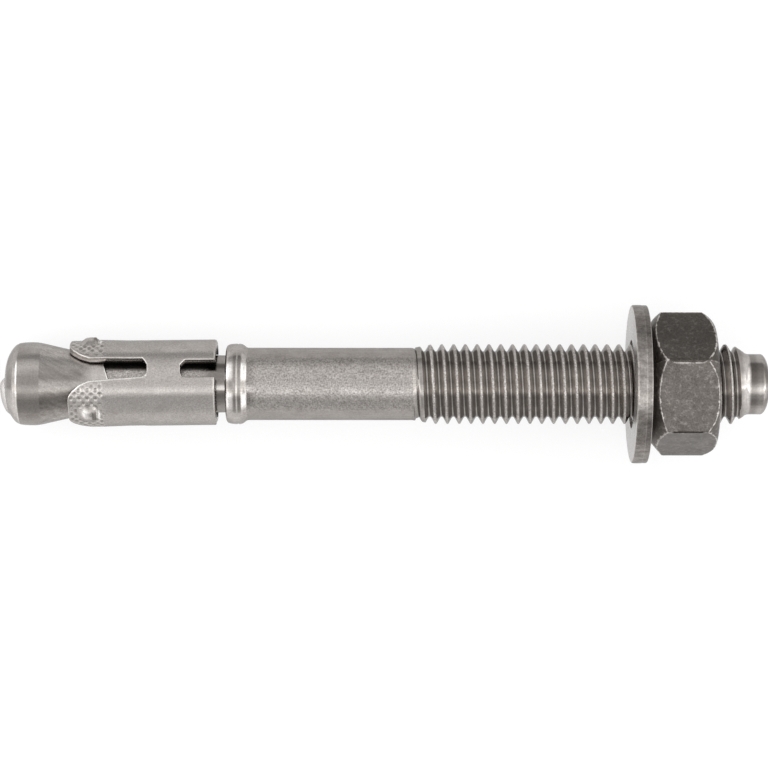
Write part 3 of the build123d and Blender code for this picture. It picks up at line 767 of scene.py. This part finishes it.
# Values for the outer face, the bore's face and the four rows between them
on_rim = [np.zeros(len(rim_points))] * 4
through = [np.full(len(rim_points), share) for share in (0.1, 0.4, 0.7, 1)]
for label, on_outside, on_inside, on_rows in [
    ("along", height - PITS_FROM, height, on_rim),
    ("around", around, around, on_rim),
    ("punched", punched, 0 * height, on_rim),
    ("sheared", sheared, 0 * height, on_rim),
    ("inset", inset, inset, on_rim),
    ("cut", 0 * height, 0 * height + 1, through),
]:
    values = np.concatenate([on_outside, on_inside] + on_rows)
    sheet.attributes.new(label, "FLOAT", "POINT").data.foreach_set("value", values)

# Pits in two diagonal sets of rows: each point of the sheet finds the crossing nearest to it and
# sinks or rises with its distance from there.
lengths = ["Spacing along", "Spacing around", "First rows at", "Second rows at", "Radius", "Depth", "Ridge"]
values = {"Geometry": ["Sheet"], "Float": lengths, "Int": ["Seed"], "Material": ["Finish"]}
pits, size = new_group("punched_pits", "GeometryNodeTree", values, {"Geometry": ["Mesh"]})
parts = {}
for label in ["along", "around"]:
    part = add_node(pits, "GeometryNodeInputNamedAttribute", {"Name": label}, data_type="FLOAT")
    part = {0: part, 1: size["Spacing " + label]}
    parts[label] = add_node(pits, "ShaderNodeMath", part, operation="DIVIDE")
cells, gaps = [], []
for way, label in [("ADD", "First rows at"), ("SUBTRACT", "Second rows at")]:
    row = add_node(pits, "ShaderNodeMath", {0: parts["along"], 1: parts["around"]}, operation=way)
    row = add_node(pits, "ShaderNodeMath", {0: row, 1: size[label]}, operation="SUBTRACT")
    cells.append(add_node(pits, "ShaderNodeMath", {0: row}, operation="ROUND"))
    gaps.append(add_node(pits, "ShaderNodeMath", {0: row, 1: cells[-1]}, operation="SUBTRACT"))
# A number for each pit
number = add_node(pits, "ShaderNodeMath", {0: cells[0], 1: 97.0, 2: cells[1]}, operation="MULTIPLY_ADD")
# Each pit strays along and around by a little, and has its own depth. Inputs 2 and 3 of a random
# value, and its output 1, are for plain numbers.
strays = []
for k, (low, high) in enumerate([(-0.06, 0.06), (-0.06, 0.06), (0.55, 1.2)]):
    seed = add_node(pits, "ShaderNodeMath", {0: size["Seed"], 1: float(k)}, operation="ADD")
    stray = {2: low, 3: high, "ID": number, "Seed": seed}
    strays.append(add_node(pits, "FunctionNodeRandomValue", stray, data_type="FLOAT").outputs[1])
off = []
for way, label, stray in [("ADD", "Spacing along", strays[0]), ("SUBTRACT", "Spacing around", strays[1])]:
    gap = add_node(pits, "ShaderNodeMath", {0: gaps[0], 1: gaps[1]}, operation=way)
    gap = add_node(pits, "ShaderNodeMath", {0: gap, 1: size[label]}, operation="MULTIPLY")
    off.append(add_node(pits, "ShaderNodeMath", {0: gap, 1: 0.5, 2: stray}, operation="MULTIPLY_ADD"))
spread = add_node(pits, "ShaderNodeCombineXYZ", {"X": off[0], "Y": off[1]})
spread = add_node(pits, "ShaderNodeVectorMath", {0: spread}, operation="LENGTH").outputs["Value"]
spread = add_node(pits, "ShaderNodeMath", {0: spread, 1: size["Radius"]}, operation="DIVIDE")
# How deep the pit is there, and the rise and fall of the ridge round it
forms = []
for start, stop, first, last in [(0.3, 1.05, 1.0, 0.0), (0.85, 1.3, 0.0, 1.0), (1.3, 1.9, 1.0, 0.35)]:
    form = {"Value": spread, 1: start, 2: stop, 3: first, 4: last}
    forms.append(add_node(pits, "ShaderNodeMapRange", form, interpolation_type="SMOOTHSTEP"))
mask = add_node(pits, "GeometryNodeInputNamedAttribute", {"Name": "punched"}, data_type="FLOAT")
mask = add_node(pits, "ShaderNodeMath", {0: mask, 1: strays[2]}, operation="MULTIPLY")
sunk = add_node(pits, "ShaderNodeMath", {0: forms[0], 1: mask}, operation="MULTIPLY")
raised = add_node(pits, "ShaderNodeMath", {0: forms[1], 1: forms[2]}, operation="MULTIPLY")
raised = add_node(pits, "ShaderNodeMath", {0: raised, 1: mask}, operation="MULTIPLY")
shift = add_node(pits, "ShaderNodeMath", {0: raised, 1: size["Ridge"]}, operation="MULTIPLY")
deep = add_node(pits, "ShaderNodeMath", {0: sunk, 1: size["Depth"]}, operation="MULTIPLY")
shift = add_node(pits, "ShaderNodeMath", {0: shift, 1: deep}, operation="SUBTRACT")
outward = {0: add_node(pits, "GeometryNodeInputPosition"), 1: (0, 1, 1)}
outward = add_node(pits, "ShaderNodeVectorMath", outward, operation="MULTIPLY")
outward = add_node(pits, "ShaderNodeVectorMath", {0: outward}, operation="NORMALIZE")
push = add_node(pits, "ShaderNodeVectorMath", {0: outward, "Scale": shift}, operation="SCALE")
shaped = add_node(pits, "GeometryNodeSetPosition", {"Geometry": size["Sheet"], "Offset": push})
level = add_node(pits, "ShaderNodeMath", {0: raised, 1: sunk}, operation="SUBTRACT")
shaped = {"Geometry": shaped, "Name": "relief", "Value": level}
shaped = add_node(pits, "GeometryNodeStoreNamedAttribute", shaped, data_type="FLOAT")
real = add_node(pits, "GeometryNodeRealizeInstances", {"Geometry": shaped})
finished = add_node(pits, "GeometryNodeSetMaterial", {"Geometry": real, "Material": size["Finish"]})
add_node(pits, "NodeGroupOutput", {0: finished})

# Stamped stainless sheet, tumbled: a fine matte grain, brighter along its worn edges, with painted
# shade in the pits and painted highlights on the ridges between them, and coarse where it was cut
# through.
sleeve_steel, tree = new_material("stamped_stainless_sheet")
stored = {}
for label in ["inset", "cut", "relief", "sheared"]:
    stored[label] = add_node(tree, "ShaderNodeAttribute", attribute_name=label).outputs["Fac"]
edge = add_node(tree, "ShaderNodeMapRange", {"Value": stored["inset"], 1: 0.05, 2: 0.19, 3: 1.0, 4: 0.0})
tone = add_node(tree, "ShaderNodeMix", {"Factor": edge, "A": 0.39, "B": 0.56})
# Painted light on the cut faces: a painted highlight with dark lines at the fingers' ends, and further
# in along the slots painted shade towards the bore, with a painted bright line along the middle
LIT_CUT = [(0.0, 0.85), (0.2, 0.85), (0.3, 0.35), (0.4, 0.85), (0.9, 0.85), (1.0, 0.35)]
SHADED_CUT = [(0.0, 0.5), (0.3, 0.45), (0.42, 0.95), (0.52, 0.95), (0.62, 0.15), (1.0, 0.05)]
lit_cut = add_node(tree, "ShaderNodeValToRGB", {"Fac": stored["cut"]}, stops=LIT_CUT)
darkening = add_node(tree, "ShaderNodeValToRGB", {"Fac": stored["cut"]}, stops=SHADED_CUT)
further = add_node(tree, "ShaderNodeMapRange", {"Value": find_place(tree)["height"], 1: 14.85, 2: 15.85})
cut_tone = add_node(tree, "ShaderNodeMix", {"Factor": further, "A": lit_cut, "B": darkening})
inside = add_node(tree, "ShaderNodeMapRange", {"Value": stored["cut"], 1: 0.02, 2: 0.1})
tone = add_node(tree, "ShaderNodeMix", {"Factor": inside, "A": tone, "B": cut_tone})
# Painted shade and highlight: the pits are drawn darker and the ridges round them brighter
marks = add_node(tree, "ShaderNodeMapRange", {"Value": stored["relief"], 1: -1.0, 2: 1.0, 3: 0.72, 4: 1.35})
# The painted highlights and shade brighten or darken the sheet's reflectance
lit = add_node(tree, "ShaderNodeMath", {0: stored["sheared"], 1: 1.0}, operation="ADD")
for factor in (marks, lit):
    tone = add_node(tree, "ShaderNodeMath", {0: tone, 1: factor}, operation="MULTIPLY")
finish_steel(tree, tone, 0.35, 0.4, 0.26, 0.012 * MM)

pit_sizes = {"Spacing along": 1.22, "Spacing around": 1.28, "First rows at": 0.415, "Second rows at": 0.523}
pit_sizes |= {"Radius": 0.36, "Depth": 0.085 * MM, "Ridge": 0.03 * MM, "Seed": 4, "Finish": sleeve_steel}
sleeve = new_piece("sleeve", [plain_mesh(pits, pit_sizes, "sleeve_pits", sheet)], sleeve_steel, weld=1e-7)
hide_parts("expansion_sleeve")
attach(sleeve, "sleeve")

# The washer is blanked from stainless sheet and tumbled. Its rim shows the punch's smooth land
# next to the coarser band where the sheet tore, with a burnished line between them.
WASHER_OUTLINE = [
    (93.65, 6.62), (93.65, 11.42), (93.68, 11.55), (93.76, 11.66), (93.88, 11.73), (94.0, 11.75),
    (95.05, 11.75), (95.12, 11.72), (95.2, 11.71), (95.72, 11.71), (95.82, 11.7), (95.9, 11.64),
    (95.95, 11.52), (95.95, 6.62), (95.88, 6.55), (93.72, 6.55), (93.65, 6.62),
]
TEAR_LINE = 95.1
# Painted highlights and shade on the rim, as factors by degrees from the top
RIM_LIGHT_AND_SHADE_BANDS = [
    (-180, 1), (-75, 1.2), (-62, 1.1), (-47, 0.68), (-30, 0.64), (-22, 0.95), (-15, 1.05), (0, 1.2),
    (10, 1.0), (22, 0.85), (32, 0.74), (50, 0.62), (65, 0.85), (78, 1.1), (180, 1),
]
washer_steel, tree = new_material("blanked_stainless_sheet")
ring = new_mesh("washer_ring", *lathe(dense(WASHER_OUTLINE, 0.6), 180))
washer = new_piece("flat_washer", [ring], washer_steel)
spot = find_place(tree)
height = spot["height"]
# Marks that run across the rim, where the punch dragged the metal
drawn = add_node(tree, "ShaderNodeMapping", {"Vector": spot["here"], "Scale": (700.0, 1500.0, 1500.0)})
marks = {"Vector": drawn, "Scale": 1.0, "Detail": 3.0, "Roughness": 0.65}
marks = add_node(tree, "ShaderNodeTexNoise", marks)
marks = add_node(tree, "ShaderNodeMapRange", {"Value": marks, 1: 0.35, 2: 0.7, 3: 0.75, 4: 1.3})
# Painted highlights and painted shade on the rim, by the turn about the axis
rim_light_and_shade = add_node(tree, "ShaderNodeValToRGB", {"Fac": spot["turn"]}, stops=by_turn(RIM_LIGHT_AND_SHADE_BANDS))
torn = add_node(tree, "ShaderNodeMapRange", {"Value": height, 1: TEAR_LINE - 0.02, 2: TEAR_LINE + 0.06})
tone = add_node(tree, "ShaderNodeMix", {"Factor": torn, "A": 0.27, "B": 0.235})
for factor in (marks, rim_light_and_shade):
    tone = add_node(tree, "ShaderNodeMath", {0: tone, 1: factor}, operation="MULTIPLY")
line = near_line(tree, height, TEAR_LINE, 0.02, 0.09, 0.12)
worn_edge = add_node(tree, "ShaderNodeMapRange", {"Value": height, 1: 95.84, 2: 95.9})
on_face = add_node(tree, "ShaderNodeMapRange", {"Value": spot["reach"], 1: 11.5, 2: 11.62, 3: 1.0, 4: 0.0})
for mask, level in [(line, 0.6), (worn_edge, 0.55), (on_face, 0.85)]:
    tone = add_node(tree, "ShaderNodeMix", {"Factor": mask, "A": tone, "B": level})
finish_steel(tree, tone, 0.45, 0.5, 0.3, 0.02 * MM)
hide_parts("washer")
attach(washer, "washer")

# The nut is hot-formed and tapped stainless steel that was left darker than the bolt. Tumbling
# has worn its corners and the edges of its chamfers bright.
NUT_SEAT = 96.0
NUT_HEIGHT = 10.0
NUT_HALF_FLATS = 9.4
NUT_TURN = 10.7
NUT_FACE = 9.0
NUT_BEARING_FACE = 8.0
NUT_CORNER = 10.855
NUT_ROUND = [(NUT_FACE, 0.0), (10.1, 0.8), (NUT_CORNER, 1.9)]
NUT_BEARING = [(NUT_BEARING_FACE, 0.0), (9.4, 1.05), (NUT_CORNER, 2.2)]
NUT_SINK = 6.25
NUT_EDGE = 0.25
NUT_COLUMNS = [0.0, 0.22, 0.44, 0.66, 1.3, 2.4, 4.0, 7.0, 11.0, 16.0, 22.0, 30.0]
ROUNDED_DEGREES = 0.67
# Each corner is rounded, so the reach there follows a small circle instead of the two flats
columns = np.array(NUT_COLUMNS)
columns = np.concatenate([columns, 60 - columns[-2:0:-1]])
from_corner = np.radians(np.minimum(columns, 60 - columns))
centre = (NUT_HALF_FLATS - NUT_EDGE) / math.cos(math.radians(30))
chord = np.sqrt(np.clip(NUT_EDGE**2 - (centre * np.sin(from_corner)) ** 2, 0, None))
rounded = chord + centre * np.cos(from_corner)
flat = NUT_HALF_FLATS / np.cos(np.radians(30) - from_corner)
reach = np.tile(np.where(np.degrees(from_corner) < ROUNDED_DEGREES, rounded, flat), 6)
turn = np.radians((columns[None] + 60 * np.arange(6)[:, None] + NUT_TURN).ravel())
wide = len(turn)
even = np.arange(wide) * 2 * np.pi / wide
even = np.roll(even, -int(round(turn[0] / (even[1] - even[0]))))
# A chamfer's height at a radius is a curve through its three points
bearing, rounding = [np.polyfit(*np.array(ends).T, 2) for ends in (NUT_BEARING, NUT_ROUND)]
low_edge, high_edge = np.polyval(bearing, reach), NUT_HEIGHT - np.polyval(rounding, reach)
# Rings of points: their radius, height above the seat and turns
rings = [(NUT_SINK, 0.0, even), (7.2, 0.0, turn)]
for part in np.linspace(0, 1, 8):
    ring = NUT_BEARING_FACE + (reach - NUT_BEARING_FACE) * part
    rings.append((ring, np.polyval(bearing, ring), turn))
for part in (0.015, 0.04, 0.1, 0.25, 0.5, 0.75, 0.9, 0.96, 0.985):
    rings.append((reach, low_edge + (high_edge - low_edge) * part, turn))
for part in np.linspace(1, 0, 8):
    ring = NUT_FACE + (reach - NUT_FACE) * part
    rings.append((ring, NUT_HEIGHT - np.polyval(rounding, ring), turn))
rings += [(7.6, NUT_HEIGHT, turn), (NUT_SINK, NUT_HEIGHT, even)]
points = np.concatenate([turned(NUT_SEAT + h, r, t) for r, h, t in rings])
# It leans a little on its thread
beyond = np.clip(np.hypot(points[:, 1], points[:, 2]) / MM - 7.5, 0, 2) / 2
points[:, 0] -= 0.025 * beyond * (points[:, 1] + 0.002)
body = new_mesh("nut_body", points, join_rings(len(rings), wide))
# Millimetres from the nearest worn edge: a corner, or where the flats meet a chamfer
gap = np.tile(np.sin(from_corner) * NUT_CORNER, 6 * len(rings))
heights = np.concatenate([np.broadcast_to(h, wide) for r, h, t in rings])
low_edge, high_edge = np.tile(low_edge, len(rings)), np.tile(high_edge, len(rings))
on_flats = (heights > low_edge + 1e-6) & (heights < high_edge - 1e-6)
to_chamfer = np.minimum(np.abs(heights - low_edge), np.abs(heights - high_edge))
gap = np.minimum(np.where(on_flats, gap, 9), to_chamfer)
body.attributes.new("gap", "FLOAT", "POINT").data.foreach_set("value", gap)
nut_steel, tree = new_material("dark_tumbled_stainless_steel")
tapped = {
    "Root radius": 5.15 * MM,
    "Crest radius": 6.115 * MM,
    "Start": float(along(NUT_SEAT)),
    "End": float(along(NUT_SEAT + NUT_HEIGHT)),
    "Start radius": NUT_SINK * MM,
    "End radius": NUT_SINK * MM,
    "Root run-in": 1.1 * MM,
    "Crest run-in": 1.1 * MM,
    "Run-out": 1.1 * MM,
    "Turns": 7,
    "Segments": wide,
    "Finish": nut_steel,
}
hole = plain_mesh(thread, {**thread_sizes, **tapped}, "nut_thread")
nut = new_piece("nut", [body, hole], nut_steel, sharp=28)
spot = find_place(tree)
outside = add_node(tree, "ShaderNodeMapRange", {"Value": spot["reach"], 1: 8.8, 2: 9.2})
rubs = {"Vector": spot["here"], "Scale": 1500.0, "Detail": 4.0, "Roughness": 0.7}
rubs = add_node(tree, "ShaderNodeTexNoise", rubs)
gap = add_node(tree, "ShaderNodeAttribute", attribute_name="gap").outputs["Fac"]
spread = add_node(tree, "ShaderNodeMapRange", {"Value": rubs, 1: 0.3, 2: 0.7, 3: 0.2, 4: -0.12})
worn_edge = add_node(tree, "ShaderNodeMath", {0: gap, 1: spread}, operation="ADD")
worn_edge = add_node(tree, "ShaderNodeMapRange", {"Value": worn_edge, 1: 0.04, 2: 0.2, 3: 1.0, 4: 0.0})
worn_edge = add_node(tree, "ShaderNodeMath", {0: worn_edge, 1: outside}, operation="MULTIPLY")
specks = add_node(tree, "ShaderNodeMapRange", {"Value": rubs, 1: 0.52, 2: 0.75, 3: 0.0, 4: 0.1})
tone = add_node(tree, "ShaderNodeMath", {0: specks, 1: 0.095}, operation="ADD")
# One face is darker than its neighbours, past a worn line that sags from the corner's two ends.
# Round the next corner a dark line is drawn along the middle of its height.
SAGGING_CORNER = 0.5536
DARK_LINE_CORNER = 0.3872
sag = add_node(tree, "ShaderNodeMath", {0: spot["height"], 1: 101.3}, operation="SUBTRACT")
sag = add_node(tree, "ShaderNodeMath", {0: sag, 1: 2.0}, operation="POWER")
sag = add_node(tree, "ShaderNodeMapRange", {"Value": sag, 1: 4.0, 2: 9.0, 3: 0.0065, 4: 0.0})
sagged = add_node(tree, "ShaderNodeMath", {0: spot["turn"], 1: sag}, operation="ADD")
plain = near_line(tree, spot["turn"], SAGGING_CORNER, 0.003, 0.005, 0.0, 1.0)
unsagged = add_node(tree, "ShaderNodeMapRange", {"Value": sag, 1: 0.0, 2: 0.001, 3: 1.0, 4: 0.0})
plain = add_node(tree, "ShaderNodeMath", {0: plain, 1: unsagged}, operation="MAXIMUM")
worn_edge = add_node(tree, "ShaderNodeMath", {0: worn_edge, 1: plain}, operation="MULTIPLY")
rubbed = add_node(tree, "ShaderNodeMapRange", {"Value": rubs, 1: 0.4, 2: 0.6})
sagging = near_line(tree, sagged, SAGGING_CORNER, 0.0005, 0.0022, 0.75)
for mask in (outside, rubbed):
    sagging = add_node(tree, "ShaderNodeMath", {0: sagging, 1: mask}, operation="MULTIPLY")
worn_edge = add_node(tree, "ShaderNodeMath", {0: worn_edge, 1: sagging}, operation="MAXIMUM")
near_middle = add_node(tree, "ShaderNodeMapRange", {"Value": sag, 1: 0.002, 2: 0.006})
darkening = near_line(tree, spot["turn"], DARK_LINE_CORNER, 0.0018, 0.0036)
darkening = add_node(tree, "ShaderNodeMath", {0: darkening, 1: near_middle}, operation="MULTIPLY")
FACES = [
    (0.0, 1.0), (0.22, 1.0), (0.222, 1.06), (0.386, 1.06), (0.388, 1.22), (0.5526, 1.22),
    (0.5546, 0.68), (0.719, 0.68), (0.721, 1.0), (1.0, 1.0),
]
face = add_node(tree, "ShaderNodeValToRGB", {"Fac": sagged}, stops=FACES)
face = add_node(tree, "ShaderNodeMix", {"Factor": outside, "A": 1.0, "B": face})
tone = add_node(tree, "ShaderNodeMath", {0: tone, 1: face}, operation="MULTIPLY")
tone = add_node(tree, "ShaderNodeMix", {"Factor": worn_edge, "A": tone, "B": 0.5})
tone = add_node(tree, "ShaderNodeMix", {"Factor": darkening, "A": tone, "B": 0.04})
finish_steel(tree, tone, 0.5, 0.6, 0.38, 0.03 * MM, tint="#FFFFFF")
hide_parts("hex_nut")
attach(nut, "nut")

# The studio: a white floor on which the bolt lies on its washer's rim and its cone, and soft light
# from a pale tent, which is darker near the horizon and has a bright strip along the bolt's side.
CAMERA_HEIGHT = 0.426
CAMERA_X = -0.03665
CAMERA_Y = -0.000005
CAMERA_ROLL = 0.04
FRAME_WIDTH = 0.114
# The washer's rim stands lower than the cone's land, over the length between them
REST_SLOPE = math.atan2(11.75 - 6.165, 89.5)
FLOOR_DROP = 11.77
FLOOR_HALF = 4
corners = [(x * FLOOR_HALF, y * FLOOR_HALF, 0) for x, y in [(-1, -1), (1, -1), (1, 1), (-1, 1)]]
floor = bpy.data.objects.new("floor", new_mesh("floor", corners, [(0, 1, 2, 3)]))
bpy.context.scene.collection.objects.link(floor)
floor.location = (0, 0, -FLOOR_DROP * MM)
floor.rotation_euler = (0, REST_SLOPE, 0)
# Paper that glows a little for the camera and in reflections, and only scatters light otherwise
paper, tree = new_material("white_paper_backdrop")
ray = add_node(tree, "ShaderNodeLightPath").outputs
seen = {0: ray["Is Camera Ray"], 1: ray["Is Glossy Ray"]}
seen = add_node(tree, "ShaderNodeMath", seen, operation="MAXIMUM")
card = add_node(tree, "ShaderNodeBsdfDiffuse", {"Color": linear("#E6E6E6")})
shaded = add_node(tree, "ShaderNodeBsdfDiffuse", {"Color": linear("#8A8A8A")})
glow = add_node(tree, "ShaderNodeEmission", {"Color": linear("#FFFFFF"), "Strength": 0.74})
glowing = add_node(tree, "ShaderNodeAddShader", {0: shaded, 1: glow})
shown = add_node(tree, "ShaderNodeMixShader", {0: seen, 1: card, 2: glowing})
add_node(tree, "ShaderNodeOutputMaterial", {0: shown})
floor.data.materials.append(paper)

world = bpy.data.worlds.new("light_tent")
bpy.context.scene.world = world
world.use_nodes = True
tree = world.node_tree
tree.nodes.clear()
TENT = [
    (-95, 0.88), (-75, 0.74), (-55, 0.66), (-45, 0.58), (-38, 0.9), (-30, 1.65), (-24, 1.85), (-15, 1.4),
    (-5, 1.15), (8, 0.96), (22, 1.1), (42, 1.13), (52, 0.94), (65, 0.86), (78, 0.55), (88, 0.48), (95, 0.6),
]
sky = add_node(tree, "ShaderNodeTexCoord").outputs["Generated"]
sky = add_node(tree, "ShaderNodeSeparateXYZ", {0: sky}).outputs
lean = add_node(tree, "ShaderNodeMath", {0: sky["Y"], 1: sky["Z"]}, operation="ARCTAN2")
lean = add_node(tree, "ShaderNodeMath", {0: lean, 1: 0.5 / math.pi, 2: 0.5}, operation="MULTIPLY_ADD")
tent = add_node(tree, "ShaderNodeValToRGB", {"Fac": lean}, stops=by_turn(TENT))
ends = add_node(tree, "ShaderNodeMath", {0: sky["X"]}, operation="ABSOLUTE")
ends = {"Value": ends, 1: 0.3, 2: 0.8, 3: 1.0, 4: 1.8}
ends = add_node(tree, "ShaderNodeMapRange", ends, interpolation_type="SMOOTHSTEP")
white = add_node(tree, "ShaderNodeBackground", {"Color": (1, 1, 1, 1), "Strength": 1.0})
light = add_node(tree, "ShaderNodeBackground", {"Color": tent, "Strength": ends})
ray = add_node(tree, "ShaderNodeLightPath").outputs
mixed = add_node(tree, "ShaderNodeMixShader", {0: ray["Is Camera Ray"], 1: light, 2: white})
add_node(tree, "ShaderNodeOutputWorld", {0: mixed})

camera = bpy.data.objects.new("camera", bpy.data.cameras.new("camera"))
bpy.context.scene.collection.objects.link(camera)
camera.location = (CAMERA_X, CAMERA_Y, CAMERA_HEIGHT)
camera.rotation_euler = (0, 0, math.radians(CAMERA_ROLL))
camera.data.sensor_width = 36.0
camera.data.lens = 36.0 * CAMERA_HEIGHT / FRAME_WIDTH
camera.data.clip_start = 0.01
camera.data.clip_end = 100
bpy.context.scene.camera = camera
bpy.context.scene.view_settings.view_transform = "Standard"
